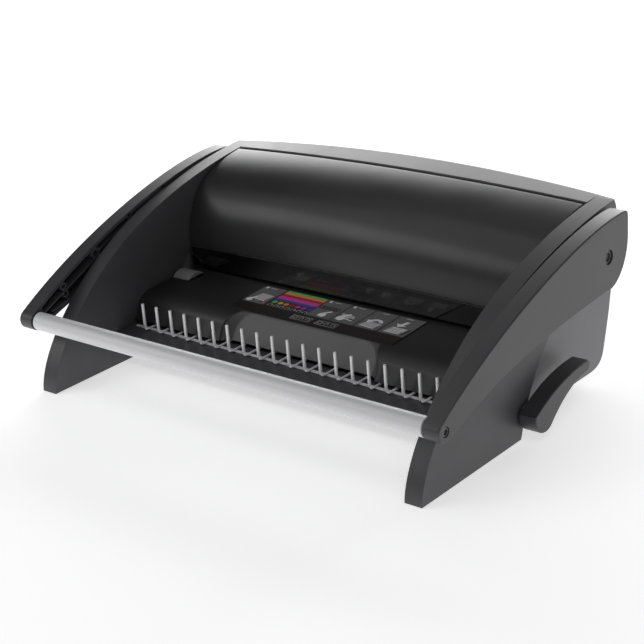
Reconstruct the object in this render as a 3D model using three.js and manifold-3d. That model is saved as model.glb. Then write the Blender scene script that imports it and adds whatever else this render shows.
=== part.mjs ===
// A manual comb binding machine: a punch for ring-bound sheets with a comb opener in front of it.
// Millimetres, +Z up. Seen from the front, +X is to the right and +Y runs to the rear. Y is measured
// from the front edge of the feet while the pieces are built, and the whole machine is centred at the end.
import * as THREE from 'three';
import { mergeVertices } from 'three/addons/utils/BufferGeometryUtils.js';
import Module from 'manifold-3d';

const wasm = await Module();
wasm.setup();

// ---- driving dimensions ----
const GAP = 0.3; // air between pieces that rest on each other
const RINGS = 21; // rings of an A4 comb
const PITCH = 14.2875; // 9/16 inch between rings
const PANEL_IN = 159; // inner face of a side panel
const PANEL_OUT = 172.4;
const PANEL_Z = 0.4; // lower edge of a side panel, just above the ground
const ARM_IN = 174.5; // inner face of a handle arm
const ARM_OUT = 188;
const SHELL = 2.5; // wall of the plastic covers
const BASE_Z = 7; // underside of the base tray
const DECK_Z = 50.2; // paper table at its rear edge
const DECK_REAR = 149.6;
const DECK_FALL = 0.0465; // slope of the paper table, down towards the front
const THROAT = 2.3; // height of the paper slot
const COVER_HALF = 157.7;
const CHASSIS_IN = 150; // inner face of a steel end plate
const CHASSIS_OUT = 153;
const COVER_TOP_Y = 217;
const FRAME_FRONT_Y = 219.4; // front edge of the bridge behind the cover
const REAR_Y = 236;
const CROWN = 4.8; // rise of cover and bridge at mid width
const REAR_CROWN = 6.5;
const REAR_BOW = 8; // how far the rear wall bows out at mid width

const PIVOT = { y: 199, z: 102.2 }; // handle shaft
const GRIP = { y: 7, z: 52.8, r: 6.7 };
const ARM_END_R = 7.2;
const SHAFT_R = 6;
const CRANK_R = 12; // throw of the handle cranks
const CRANK_REST = THREE.MathUtils.degToRad(-35);
const CRANK_X = 126;
const PUNCH_Y = 165;
const PIN_SIZE = { x: 8, y: 3 }; // one punched hole
const LEVER = { y: 117.5, z: 18.5, r: 11.6, shaft: 4 }; // comb lever: hub and shaft radii
const OPENER_R = 17;
const OPENER_REST = THREE.MathUtils.degToRad(21);
const OPENER_X = 121;
const EAR = { far: 4.3, near: 1.3, slot: 6 }; // across a bar's ear and its slot, inwards from the crank
const FRONT_PAD = { x: 165.7, half: 4.5, y0: 18, y1: 82, height: 3.7 };
const REAR_FOOT = { x: 128, y: 188, r: 9 };
const FINGER_Y = 80.9;
const LEDGE_Z = 26.2;

// ---- colours ----
const CHARCOAL = finish(0x2c2c2e, 0.62, 0);
const SATIN_BLACK = finish(0x161617, 0.38, 0);
const GLOSS_BLACK = finish(0x08080a, 0.08, 0);
const DECK_BLACK = finish(0x1b1b1d, 0.45, 0);
const GREY = finish(0x6f7072, 0.5, 0);
const SILVER = finish(0xd4d5d6, 0.3, 0.9);
const STEEL = finish(0xb4b7ba, 0.3, 1);
const DARK_STEEL = finish(0x6c6f73, 0.45, 1);
const RUBBER = finish(0x151515, 0.9, 0);
const PAPER = finish(0x9a9a9c, 0.6, 0);
const SMOKE = finish(0x3a3a3d, 0.4, 0);
const BRASS = finish(0xb08d4a, 0.35, 1);

function finish(color, roughness, metalness) {
  return new THREE.MeshStandardMaterial({ color, roughness, metalness });
}

// ---- geometry helpers ----
const FROM_YZ = new THREE.Matrix4().makeBasis(
  new THREE.Vector3(0, 1, 0),
  new THREE.Vector3(0, 0, 1),
  new THREE.Vector3(1, 0, 0),
);

// A side outline drawn in (y, z), extruded across the machine from x0 to x1.
function slab(outline, x0, x1, steps = 1, curveSegments = 12) {
  const options = { depth: x1 - x0, bevelEnabled: false, steps, curveSegments };
  return new THREE.ExtrudeGeometry(outline, options).translate(0, 0, x0).applyMatrix4(FROM_YZ);
}

// A plan outline drawn in (x, y), extruded from z0 up to z1.
function plate(outline, z0, z1) {
  return new THREE.ExtrudeGeometry(outline, { depth: z1 - z0, bevelEnabled: false, curveSegments: 6 })
    .translate(0, 0, z0);
}

// A front outline drawn in (x, z), extruded from y0 back to y1.
function frontal(outline, y0, y1) {
  const options = { depth: y1 - y0, bevelEnabled: false, curveSegments: 8 };
  return new THREE.ExtrudeGeometry(outline, options).rotateX(Math.PI / 2).translate(0, y1, 0);
}

function block([x0, x1], [y0, y1], [z0, z1]) {
  return new THREE.BoxGeometry(x1 - x0, y1 - y0, z1 - z0)
    .translate((x0 + x1) / 2, (y0 + y1) / 2, (z0 + z1) / 2);
}

// A rod along X, given the place of its axis in (y, z).
function rodX(r, x0, x1, { y, z }, sides = 24) {
  return new THREE.CylinderGeometry(r, r, x1 - x0, sides)
    .rotateZ(Math.PI / 2).translate((x0 + x1) / 2, y, z);
}

function rodZ(r, z0, z1, x, y, sides = 8) {
  return new THREE.CylinderGeometry(r, r, z1 - z0, sides)
    .rotateX(Math.PI / 2).translate(x, y, (z0 + z1) / 2);
}

function tubeX(outer, inner, x0, x1, { y, z }, sides = 24) {
  const profile = [[inner, x0], [outer, x0], [outer, x1], [inner, x1], [inner, x0]];
  return new THREE.LatheGeometry(profile.map(([r, x]) => new THREE.Vector2(r, x)), sides)
    .rotateZ(-Math.PI / 2).translate(0, y, z);
}

function rectangle(a0, a1, b0, b1) {
  return new THREE.Shape().moveTo(a0, b0).lineTo(a1, b0).lineTo(a1, b1).lineTo(a0, b1);
}

function loop(points) {
  return new THREE.Shape(points.map(([a, b]) => new THREE.Vector2(a, b)));
}

function bezier(points, steps = 11) {
  const [a, b, c, d] = points.map(([y, z]) => new THREE.Vector2(y, z));
  return new THREE.CubicBezierCurve(a, b, c, d).getPoints(steps).map((p) => [p.x, p.y]);
}

// Points moved sideways by a distance, to the left of the direction of travel when it is positive.
function offset(points, distance, closed) {
  const last = points.length - 1;
  return points.map(([a, b], i) => {
    const before = points[i > 0 ? i - 1 : closed ? last : 0];
    const after = points[i < last ? i + 1 : closed ? 0 : last];
    const travel = new THREE.Vector2(after[0] - before[0], after[1] - before[1]).normalize();
    return [a - travel.y * distance, b + travel.x * distance];
  });
}

// The outline of a wall of constant thickness along a path.
function wall(path, thickness) {
  return loop([...path, ...offset(path, thickness, false).reverse()]);
}

function solid(geometry) {
  const bare = geometry.clone();
  bare.deleteAttribute('normal');
  bare.deleteAttribute('uv');
  const merged = mergeVertices(bare, 1e-4);
  const vertProperties = new Float32Array(merged.attributes.position.array);
  const triVerts = new Uint32Array(merged.index.array);
  return new wasm.Manifold(new wasm.Mesh({ numProp: 3, vertProperties, triVerts }));
}

function surface(body) {
  const mesh = body.getMesh();
  const geometry = new THREE.BufferGeometry();
  const places = new Float32Array(mesh.vertProperties);
  geometry.setAttribute('position', new THREE.BufferAttribute(places, mesh.numProp));
  geometry.setIndex(new THREE.BufferAttribute(new Uint32Array(mesh.triVerts), 1));
  return geometry;
}

const joined = (...parts) => surface(parts.map(solid).reduce((all, part) => all.add(part)));
const cut = (from, ...tools) => (
  surface(tools.map(solid).reduce((all, tool) => all.subtract(tool), solid(from)))
);
const common = (a, b) => surface(solid(a).intersect(solid(b)));

function ramp(value, start, end) {
  return THREE.MathUtils.clamp((value - start) / (end - start), 0, 1);
}

function moved(geometry, shift) {
  const place = geometry.attributes.position;
  for (let i = 0; i < place.count; i += 1) {
    const [x, y, z] = [place.getX(i), place.getY(i), place.getZ(i)];
    const [dy, dz] = shift(x, y, z);
    place.setXYZ(i, x, y + dy, z + dz);
  }
  return geometry;
}

const archShare = (x) => 1 - (x / PANEL_OUT) ** 2;

// The rear of the machine rises and bows out towards mid width.
function arched(geometry) {
  return moved(geometry, (x, y, z) => {
    const back = ramp(y, FRAME_FRONT_Y, REAR_Y);
    const rise = THREE.MathUtils.lerp(CROWN, REAR_CROWN, back) * ramp(z, 60, 127);
    return [REAR_BOW * back * archShare(x), rise * archShare(x)];
  });
}

// ---- assembly ----
const machine = new THREE.Group();

function add(name, geometry, material) {
  const mesh = new THREE.Mesh(geometry, material);
  mesh.name = name;
  machine.add(mesh);
}

const SIDES = [
  { name: 'left', span: (a, b) => [-b, -a], sign: -1 },
  { name: 'right', span: (a, b) => [a, b], sign: 1 },
];

const ringX = Array.from({ length: RINGS }, (_, k) => (k - (RINGS - 1) / 2) * PITCH);

// ---- side panels: each is a foot at the front and sweeps up to the rear of the bridge ----
const PANEL_FRONT = [
  ...bezier([[0, PANEL_Z], [1.2, 22], [26, 55], [66, 81.2]]),
  ...bezier([[66, 81.2], [111, 111], [175, 126], [233.5, 130.7]]).slice(1),
];
const PANEL_REAR = bezier([[240, 108], [184.4, 99.9], [124.7, 53.7], [112.2, 3.4]]);
const PANEL_OUTLINE = [...PANEL_FRONT, [236.2, 129.6], [238.6, 120], ...PANEL_REAR, [110.8, PANEL_Z]];

// A rubber pad under a side panel, or its seat when it is grown by a gap.
function frontPad(sign, grow) {
  const { x, half, y0, y1, height } = FRONT_PAD;
  const across = [sign * x - half - grow, sign * x + half + grow];
  return block(across, [y0 - grow, y1 + grow], [0, height + grow]);
}

function sidePanel([x0, x1], sign) {
  const shaftHole = rodX(SHAFT_R + 0.4, x0 - 1, x1 + 1, PIVOT);
  const tools = [frontPad(sign, GAP), shaftHole];
  if (sign > 0) tools.push(rodX(LEVER.shaft + 1, x0 - 1, x1 + 1, LEVER));
  return cut(arched(slab(loop(PANEL_OUTLINE), x0, x1)), ...tools);
}

for (const { name, span, sign } of SIDES) {
  add(`${name}_side_panel`, sidePanel(span(PANEL_IN, PANEL_OUT), sign), CHARCOAL);
  add(`front_${name}_foot`, frontPad(sign, 0), RUBBER);
  add(`rear_${name}_foot`, rodZ(REAR_FOOT.r, 0, BASE_Z - GAP, sign * REAR_FOOT.x, REAR_FOOT.y, 24), RUBBER);
}

// ---- bridge across the top, behind the cover ----
const BRIDGE_OUTLINE = loop([
  [FRAME_FRONT_Y, 127.2], [FRAME_FRONT_Y, 128.8], [FRAME_FRONT_Y + 0.9, 129.8], [233.5, 130.7],
  [236, 129.7], [236.6, 127.8], [223, 127.8], [222, 124], [220.5, 124],
]);
const BRIDGE_HALF = PANEL_IN - GAP;
add('top_frame', arched(slab(BRIDGE_OUTLINE, -BRIDGE_HALF, BRIDGE_HALF, 12)), CHARCOAL);

// ---- rear housing with the drawer opening, and the chip tray that closes it ----
const HOUSING = { half: 166, front: 100, foot: 8.5, top: 80 };
const REAR_WALL = [
  [206, HOUSING.foot], ...bezier([[212, HOUSING.foot], [221, 9], [225.5, 12], [228, 18.5]], 6),
  ...bezier([[228, 18.5], [234.5, 42], [249, 80], [236.6, 127.4]]).slice(1),
];
const TRAY = { half: 138, front: 131, z0: 12, z1: 36, wall: 2 };
const TRAY_GAP = 0.4;
const BEHIND = 260; // a depth well behind the machine

function rearSolid(half, inset, top) {
  const back = inset ? offset(REAR_WALL, inset, false) : REAR_WALL;
  const foot = inset ? 0 : HOUSING.foot;
  const low = [[HOUSING.front, foot], [back[0][0], foot]];
  return arched(slab(loop([...low, ...back, [150, top], [HOUSING.front, 60]]), -half, half, 8));
}

// The inner solid runs on far above the outer one, so the shell is open at the top.
function rearHousing() {
  const outside = rearSolid(HOUSING.half, 0, HOUSING.top);
  const shell = cut(outside, rearSolid(HOUSING.half - SHELL, SHELL, 5 * HOUSING.top));
  const grown = loop(offset(PANEL_OUTLINE, 0.35, true));
  const seats = SIDES.map(({ span }) => {
    const [x0, x1] = span(PANEL_IN - GAP, PANEL_OUT + 1);
    return arched(slab(grown, x0, x1));
  });
  const half = TRAY.half + TRAY_GAP;
  const drawer = block([-half, half], [200, BEHIND], [TRAY.z0 - TRAY_GAP, TRAY.z1 + TRAY_GAP]);
  const shaft = rodX(LEVER.shaft + 0.4, PANEL_IN + 1, PANEL_IN + 11, LEVER);
  return cut(shell, ...seats, drawer, shaft);
}

function chipTray() {
  const { half, front, z0, z1, wall: thick } = TRAY;
  const filled = block([-half, half], [front, BEHIND], [z0, z1]);
  const outside = common(filled, rearSolid(HOUSING.half, 0, HOUSING.top));
  const hollow = block([thick - half, half - thick], [front + thick, BEHIND], [z0 + thick, z1 + 9]);
  const inside = common(hollow, rearSolid(HOUSING.half, SHELL, HOUSING.top));
  const fingerNotch = new THREE.CylinderGeometry(16, 16, 60, 24).translate(0, 235, z1 + 6);
  return cut(outside, inside, fingerNotch);
}

add('rear_housing', rearHousing(), CHARCOAL);
add('chip_tray', chipTray(), SMOKE);

// ---- base tray: floor, front wall and the ledge under the comb fingers ----
const BASE = { half: PANEL_IN - 0.6, floor: 2.2, wall: 2.4, front: 66, rear: 205.5, ledge: 94 };

function baseTray() {
  const { half, floor, wall: thick, front, rear, ledge } = BASE;
  const outside = [
    [ledge, LEDGE_Z], [front + 0.8, LEDGE_Z], [front, LEDGE_Z - 0.8],
    [front, BASE_Z + 1.2], [front + 1.2, BASE_Z],
  ];
  const inside = [
    [rear, BASE_Z + floor], [front + thick, BASE_Z + floor],
    [front + thick, LEDGE_Z - thick], [ledge, LEDGE_Z - thick],
  ];
  const trough = slab(loop([...outside, [rear, BASE_Z], ...inside]), -half, half);
  const ends = SIDES.map(({ span }) => (
    block(span(half - floor, half), [front + 1, LEVER.y + 7.5], [BASE_Z + 1, LEDGE_Z - 1.2])
  ));
  return cut(joined(trough, ...ends), rodX(LEVER.shaft + 0.35, -half - 1, half + 1, LEVER));
}

add('base_tray', baseTray(), CHARCOAL);

// ---- front cover and the gloss strip under it ----
const COVER_PATH = [
  [152.7, 66], ...bezier([[152.7, 68], [154.5, 111], [175.8, 124.2], [COVER_TOP_Y, 130.4]], 12),
];
const coverLift = (x) => [0, CROWN * archShare(x)];
const coverWall = slab(wall(COVER_PATH, -SHELL), -COVER_HALF, COVER_HALF, 12);
add('front_cover', moved(coverWall, coverLift), SATIN_BLACK);

const STRIP = { y: 152.9, top: 65.7, bottom: DECK_Z + THROAT };
const stripOutline = rectangle(STRIP.y, STRIP.y + 2.2, STRIP.bottom, STRIP.top);
const stripLift = (x, y, z) => [0, CROWN * archShare(x) * ramp(z, STRIP.bottom, STRIP.top)];
const strip = slab(stripOutline, -COVER_HALF, COVER_HALF, 12);
add('throat_fascia', moved(strip, stripLift), GLOSS_BLACK);

// ---- deck with the scoop in its front slope ----
const deckZ = (y) => DECK_Z - DECK_FALL * (DECK_REAR - y);
const DECK_FOOT = { y: 87.3, z: 31.6 };
const DECK_BEND = [
  ...bezier([[108, deckZ(108)], [103, 48], [95.5, 46.6], [92.2, 41.8]], 8), [DECK_FOOT.y, DECK_FOOT.z],
];
const SCOOP = { half: 72, top: 50, corner: 14, foot: 95.3, lip: 105.4 };

const SCOOP_ROOM = { half: 90, y0: 60, y1: 125, z0: 20, z1: 60 }; // a box well around the scoop

function scoop(grow) {
  const half = SCOOP.half + grow;
  const top = SCOOP.top + grow;
  const room = SCOOP_ROOM;
  const front = new THREE.Shape()
    .moveTo(-half, room.z0).lineTo(half, room.z0).lineTo(half, top - SCOOP.corner)
    .absarc(half - SCOOP.corner, top - SCOOP.corner, SCOOP.corner, 0, Math.PI / 2, false)
    .lineTo(SCOOP.corner - half, top)
    .absarc(SCOOP.corner - half, top - SCOOP.corner, SCOOP.corner, Math.PI / 2, Math.PI, false);
  const lean = (SCOOP.lip - SCOOP.foot) / (deckZ(SCOOP.lip) - DECK_FOOT.z);
  const backAt = (z) => SCOOP.foot + grow + lean * (z - DECK_FOOT.z);
  const slope = loop([
    [room.y0, room.z0], [backAt(room.z0), room.z0], [backAt(room.z1), room.z1], [room.y0, room.z1],
  ]);
  return common(frontal(front, room.y0, room.y1), slab(slope, -room.half, room.half));
}

// The stem of the edge guide, and how far the guide slides.
const STEM = { x0: -152, x1: -148, y0: 137.2, y1: 142.8, z0: 44, z1: 51 };
const GUIDE_TRAVEL = 8;

function deck() {
  const half = PANEL_IN - GAP;
  const outer = loop([[DECK_REAR, DECK_Z], ...DECK_BEND, [DECK_REAR, DECK_FOOT.z]]);
  const bend = offset(DECK_BEND, SHELL, false);
  const behind = DECK_REAR + 10.4;
  const below = SCOOP_ROOM.z0;
  const shelf = [behind, deckZ(behind) - SHELL];
  const under = loop([shelf, ...bend, [bend.at(-1)[0] - 3, below], [behind, below]]);
  const cavity = cut(slab(under, -half + SHELL, half - SHELL), scoop(SHELL));
  const slotX = [STEM.x0 - 2 * GAP, STEM.x1 + GUIDE_TRAVEL + 2];
  const guideSlot = block(slotX, [STEM.y0 - 2 * GAP, STEM.y1 + 2 * GAP], [STEM.z0 - 4, STEM.z1 + 9]);
  const dieHalf = CHASSIS_IN + 1;
  const dieRoom = block([-dieHalf, dieHalf], [DECK_REAR - 3.6, behind], [DECK_FOOT.z - 1.6, DECK_Z - 2.6]);
  return cut(slab(outer, -half, half), scoop(0), cavity, guideSlot, dieRoom);
}

add('deck_cover', deck(), DECK_BLACK);
const LABEL = { x0: -77, x1: 72.5, y0: 107.6, y1: 148.6, thick: 0.3 };
const labelOutline = loop([
  [LABEL.y0, deckZ(LABEL.y0) + GAP], [LABEL.y1, deckZ(LABEL.y1) + GAP],
  [LABEL.y1, deckZ(LABEL.y1) + GAP + LABEL.thick], [LABEL.y0, deckZ(LABEL.y0) + GAP + LABEL.thick],
]);
add('instruction_label', slab(labelOutline, LABEL.x0, LABEL.x1), PAPER);

// ---- sliding edge guide at the left end of the deck ----
const GUIDE = loop([
  [128.6, deckZ(128.6) + GAP], [130, 51.2], [132.4, 52.8], [135.4, 54], [138.4, 54.4], [141.4, 53.9],
  [144.2, 52.6], [146.4, deckZ(146.4) + GAP],
]);
const GUIDE_X = { x0: -157, x1: -140.4 };
const guideStem = block([STEM.x0, STEM.x1], [STEM.y0, STEM.y1], [STEM.z0, STEM.z1]);
add('edge_guide', joined(slab(GUIDE, GUIDE_X.x0, GUIDE_X.x1), guideStem), GREY);

// ---- comb fingers: an L strip with upright round fingers, and openings for the hooks ----
const FINGER = { r: 1.2, top: 46.8, foot: 26.8 };
const FINGER_STRIP = { half: 153, y0: FINGER_Y + 0.7, y1: 86.6, z1: 31, wall: 1.6, flange: 1.2 };
const WINDOW = { left: 1.9, right: 7.9, rim: 0.6 }; // beside each finger, measured from its axis

// One hook, measured from the axis of its finger: tip and bend are depths, the others are places across it.
const HOOK = { z0: 27, z1: 28.6, left: 1.7, gap: 2.7, bar: 3.7, right: 5.2, tip: 80.8, bend: 79.4 };
const HOOK_GATE = { side: 0.5, top: 0.8 }; // air around the bar of a hook

function fingerPlate() {
  const { half, y0, y1, z1, wall: thick, flange: flangeThick } = FINGER_STRIP;
  const front = block([-half, half], [y0, y0 + thick], [LEDGE_Z + GAP, z1]);
  const flange = block([-half, half], [y0 + GAP, y1], [z1 - flangeThick, z1]);
  const rods = ringX.map((x) => rodZ(FINGER.r, FINGER.foot, FINGER.top, x, FINGER_Y, 6));
  const gates = ringX.map((x) => {
    const across = [x + HOOK.bar - HOOK_GATE.side, x + HOOK.right + HOOK_GATE.side];
    return block(across, [FINGER_Y - 1, y1 + 1], [LEDGE_Z - 1, HOOK.z1 + HOOK_GATE.top]);
  });
  const windows = ringX.map((x) => (
    block([x + WINDOW.left, x + WINDOW.right], [y0 + thick, y1 - WINDOW.rim], [HOOK.z1 + 0.4, z1 + 1])
  ));
  return cut(joined(front, flange, ...rods), ...gates, ...windows);
}
add('finger_plate', fingerPlate(), STEEL);

// ---- hook plate: its J-shaped hooks pull the comb rings open towards the front ----
const HOOK_BAR = { half: 150, y0: 98, y1: 108, top: 29 };
const YOKE = { half: 6, top: 41, slotHalf: 2.5, slotZ: [31.2, 38.4] }; // around the pin of an opener crank

function hook(x) {
  const { left, gap, bar, right, tip, bend } = HOOK;
  const middle = x + (left + right) / 2;
  const root = HOOK_BAR.y0 + 2;
  const outline = new THREE.Shape().moveTo(x + bar, root).lineTo(x + bar, bend)
    .lineTo(x + gap, bend).lineTo(x + gap, tip).lineTo(x + left, tip).lineTo(x + left, bend)
    .absarc(middle, bend, (right - left) / 2, Math.PI, Math.PI * 2, false).lineTo(x + right, root);
  return plate(outline, HOOK.z0, HOOK.z1);
}

function hookPlate() {
  const { half, y0, y1, top } = HOOK_BAR;
  const bar = block([-half, half], [y0, y1], [HOOK.z0, top]);
  const hooks = ringX.map(hook);
  const pin = openerPin();
  const tabs = SIDES.flatMap(({ span }) => {
    const across = span(OPENER_X - EAR.far, OPENER_X - EAR.near);
    return [
      block(across, [y1 - 4, pin.y - 3.6], [HOOK.z0, top + 1]),
      block(across, [pin.y - YOKE.half, pin.y + YOKE.half], [HOOK.z0, YOKE.top]),
    ];
  });
  const slots = SIDES.map(({ span }) => (
    block(span(OPENER_X - EAR.slot, OPENER_X), [pin.y - YOKE.slotHalf, pin.y + YOKE.slotHalf], YOKE.slotZ)
  ));
  return cut(joined(bar, ...hooks, ...tabs), ...slots);
}

function openerPin() {
  return {
    y: LEVER.y + OPENER_R * Math.sin(OPENER_REST),
    z: LEVER.z + OPENER_R * Math.cos(OPENER_REST),
  };
}
add('hook_plate', hookPlate(), STEEL);

// ---- comb lever, its shaft and the two cranks that move the hook plate ----
const LEVER_OUTLINE = new THREE.Shape()
  .moveTo(105.9, 21.4).quadraticCurveTo(136.1, 38.6, 171.6, 37.8)
  .quadraticCurveTo(174.2, 37.4, 173.7, 34.8).quadraticCurveTo(173.4, 31.2, 170.4, 30.5)
  .quadraticCurveTo(146.8, 29.3, 125.6, 10.3)
  .absarc(LEVER.y, LEVER.z, LEVER.r, -0.79, 2.89, true);
const LEVER_BORE = 8; // depth of the shaft's seat in the lever
const leverBody = slab(LEVER_OUTLINE, ARM_IN, ARM_OUT - GAP, 1, 10);
const leverSeat = rodX(LEVER.shaft + 0.4, ARM_IN - 1, ARM_IN + LEVER_BORE, LEVER);
add('comb_lever', cut(leverBody, leverSeat), CHARCOAL);
add('opener_shaft', rodX(LEVER.shaft, 0.6 - BASE.half, ARM_IN + LEVER_BORE - 0.4, LEVER), STEEL);

const OPENER_CRANK = { hub: 5.9, half: 3, pin: 2, thick: 4 };

function openerCrank(span) {
  const [x0, x1] = span(OPENER_X, OPENER_X + OPENER_CRANK.thick);
  const pin = openerPin();
  const hub = new THREE.Shape().absarc(LEVER.y, LEVER.z, OPENER_CRANK.hub, 0, Math.PI * 2);
  const arm = limb([LEVER.y, LEVER.z], [pin.y, pin.z], OPENER_CRANK.half);
  const stud = rodX(OPENER_CRANK.pin, ...span(OPENER_X - 5, OPENER_X + 3), pin, 12);
  const parts = joined(slab(hub, x0, x1, 1, 8), slab(arm, x0, x1), stud);
  return cut(parts, rodX(LEVER.shaft + GAP, x0 - 1, x1 + 1, LEVER));
}

// A bar between two places with the given half width and squared ends.
function limb([y0, z0], [y1, z1], half) {
  const run = new THREE.Vector2(y1 - y0, z1 - z0).normalize().multiplyScalar(half);
  return loop([
    [y0 - run.y, z0 + run.x], [y0 + run.y, z0 - run.x],
    [y1 + run.x + run.y, z1 + run.y - run.x], [y1 + run.x - run.y, z1 + run.y + run.x],
  ]);
}

for (const { name, span } of SIDES) {
  add(`${name}_opener_crank`, openerCrank(span), DARK_STEEL);
}

// ---- steel chassis: end plates, dies, paper stop and shaft bushes ----
const CHASSIS = loop([
  [128, 9.6], [202, 9.6], [212, 22], [214, 112], [190, 113], [165, 95], [158, 80], [156.2, 50],
  [150.2, 49], [150.2, 41.5], [128, 40],
]);
const BUSH = { r: 9, over: 1.4 }; // how far a bush stands out of the plate on each face
for (const { name, span } of SIDES) {
  const [x0, x1] = span(CHASSIS_IN, CHASSIS_OUT);
  const bushSeat = rodX(BUSH.r + GAP, x0 - 1, x1 + 1, PIVOT);
  const leverRoom = rodX(LEVER.shaft + 6, x0 - 1, x1 + 1, LEVER);
  add(`${name}_chassis_plate`, cut(slab(CHASSIS, x0, x1), bushSeat, leverRoom), DARK_STEEL);
  const [b0, b1] = span(CHASSIS_IN - BUSH.over, CHASSIS_OUT + BUSH.over);
  add(`${name}_shaft_bush`, tubeX(BUSH.r, SHAFT_R + GAP, b0, b1, PIVOT), BRASS);
}

const DIE_HALF = CHASSIS_IN - GAP;
const DIE = { lowerFront: 150, upperFront: 156.5, stopFront: 170, rear: 179, thick: 8 };

function die(y0, z0) {
  const z1 = z0 + DIE.thick;
  const holes = ringX.map((x) => {
    const across = PIN_SIZE.x / 2 + GAP;
    const along = PIN_SIZE.y / 2 + GAP;
    return block([x - across, x + across], [PUNCH_Y - along, PUNCH_Y + along], [z0 - 1, z1 + 1]);
  });
  return cut(block([-DIE_HALF, DIE_HALF], [y0, DIE.rear], [z0, z1]), ...holes);
}
add('lower_die', die(DIE.lowerFront, DECK_Z - 0.2 - DIE.thick), STEEL);
add('upper_die', die(DIE.upperFront, DECK_Z + THROAT + 0.1), STEEL);
const stopHeight = [DECK_Z + 0.1, DECK_Z + THROAT - 0.2];
add('paper_stop', block([-DIE_HALF, DIE_HALF], [DIE.stopFront, DIE.rear], stopHeight), DARK_STEEL);

// ---- punch bar with its two forked lifting ears, and the punch pins ----
const PIN_FOOT = 44.5; // lowest point of the pins with the handle down
const BAR = { half: 147, y0: 160.5, y1: 172, z0: 67, z1: 77 };
const FORK = { half: 3.3, front: 5.2, rear: 9 }; // slot around the pin of a handle crank

function crankPin() {
  return {
    y: PIVOT.y - CRANK_R * Math.cos(CRANK_REST),
    z: PIVOT.z + CRANK_R * Math.sin(CRANK_REST),
  };
}
function punchBar() {
  const pin = crankPin();
  const ears = SIDES.map(({ span }) => slab(loop([
    [BAR.y1 - 4, BAR.z0 + 2], [BAR.y1 + 4, BAR.z0 + 2], [pin.y + 3, pin.z - 6.5], [pin.y + 3, pin.z + 5.6],
    [pin.y - 7, pin.z + 5.6], [BAR.y1 - 4, BAR.z1],
  ]), ...span(CRANK_X - EAR.far, CRANK_X - EAR.near)));
  const forks = SIDES.map(({ span }) => {
    const across = span(CRANK_X - EAR.slot, CRANK_X);
    return block(across, [pin.y - FORK.front, pin.y + FORK.rear], [pin.z - FORK.half, pin.z + FORK.half]);
  });
  const bar = block([-BAR.half, BAR.half], [BAR.y0, BAR.y1], [BAR.z0, BAR.z1]);
  return cut(joined(bar, ...ears), ...forks);
}
add('punch_bar', punchBar(), DARK_STEEL);

ringX.forEach((x, k) => {
  const number = String(k + 1).padStart(2, '0');
  const across = [x - PIN_SIZE.x / 2, x + PIN_SIZE.x / 2];
  const along = [PUNCH_Y - PIN_SIZE.y / 2, PUNCH_Y + PIN_SIZE.y / 2];
  add(`punch_pin_${number}`, block(across, along, [PIN_FOOT, BAR.z0 - GAP]), STEEL);
});

// ---- handle: arms, grip tube, shaft, cranks and screws ----
const lean = { top: THREE.MathUtils.degToRad(122), low: THREE.MathUtils.degToRad(-69.6) };
const ARM_SHAPE = new THREE.Shape()
  .moveTo(9.5, 46.05)
  .absarc(GRIP.y, GRIP.z, ARM_END_R, lean.low, lean.top, true)
  .bezierCurveTo(71, 101.2, 172, 129.9, 221, 128.4)
  .quadraticCurveTo(224.8, 128.4, 225, 124.5)
  .lineTo(225, 112)
  .bezierCurveTo(225, 94, 213, 78.5, 200, 78.3)
  .bezierCurveTo(95, 73.5, 55, 62.8, 9.5, 46.05);
const ARM_SKIN = 3; // wall of an arm behind its pocket
const ARM_RIM = 2.6;
const RIB_HALF = 0.7;
const PIVOT_BOSS_R = 12;
const POCKET_FRONT = 20; // the pocket stops behind the grip
const ARM_BOSSES = [[34.6, 70.1, 3], [35.9, 64.1, 3], [70, 85, 4.4], [108.3, 103.8, 3], [146.7, 115.2, 3]];
const ARM_RIBS = [
  [[14, 56.8], [70, 81.6]], [[21, 55], [216, 96]], [[70, 85], [146.7, 115.2]], [[150, 72], [140, 122]],
];
const SPIGOT = { r: 4.8, length: 13 }; // plug of an arm inside the grip tube
const PIVOT_SCREW = { head: 4.8, shank: 3, tip: ARM_IN + GAP, depth: 3.6, seat: 4.2, place: PIVOT };
const GRIP_SCREW = { head: 3.1, shank: 1.6, tip: ARM_IN - 10, depth: 2.8, seat: 3.2, place: GRIP };
const SCREW_GAP = 0.4;

function handleArm(span) {
  const points = ARM_SHAPE.getPoints(10).map((p) => [p.x, p.y]);
  const pocketPath = offset(points.slice(0, -1), -ARM_RIM, true).filter(([y]) => y > POCKET_FRONT);
  const [p0, p1] = span(ARM_IN - 1, ARM_OUT - ARM_SKIN);
  const bosses = ARM_BOSSES.map(([y, z, r]) => rodX(r, p0 - 1, p1 + 1, { y, z }, 8));
  const ribs = ARM_RIBS.map(([from, to]) => limb(from, to, RIB_HALF));
  const ribWalls = ribs.map((rib) => slab(rib, p0 - 1, p1 + 1));
  const kept = [rodX(PIVOT_BOSS_R, p0 - 1, p1 + 1, PIVOT), ...bosses, ...ribWalls];
  const pocket = cut(slab(loop(pocketPath), p0, p1), ...kept);
  const spigot = rodX(SPIGOT.r, ...span(ARM_IN - SPIGOT.length, ARM_IN + 1), GRIP, 20);
  const body = joined(cut(slab(ARM_SHAPE, ...span(ARM_IN, ARM_OUT), 1, 10), pocket), spigot);
  const bores = [PIVOT_SCREW, GRIP_SCREW].flatMap(({ head, shank, tip, seat, place }) => [
    rodX(shank + SCREW_GAP, ...span(tip - 2, ARM_OUT), place, 16),
    rodX(head + SCREW_GAP, ...span(ARM_OUT - seat, ARM_OUT + 1), place),
  ]);
  return cut(body, ...bores);
}

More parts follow.
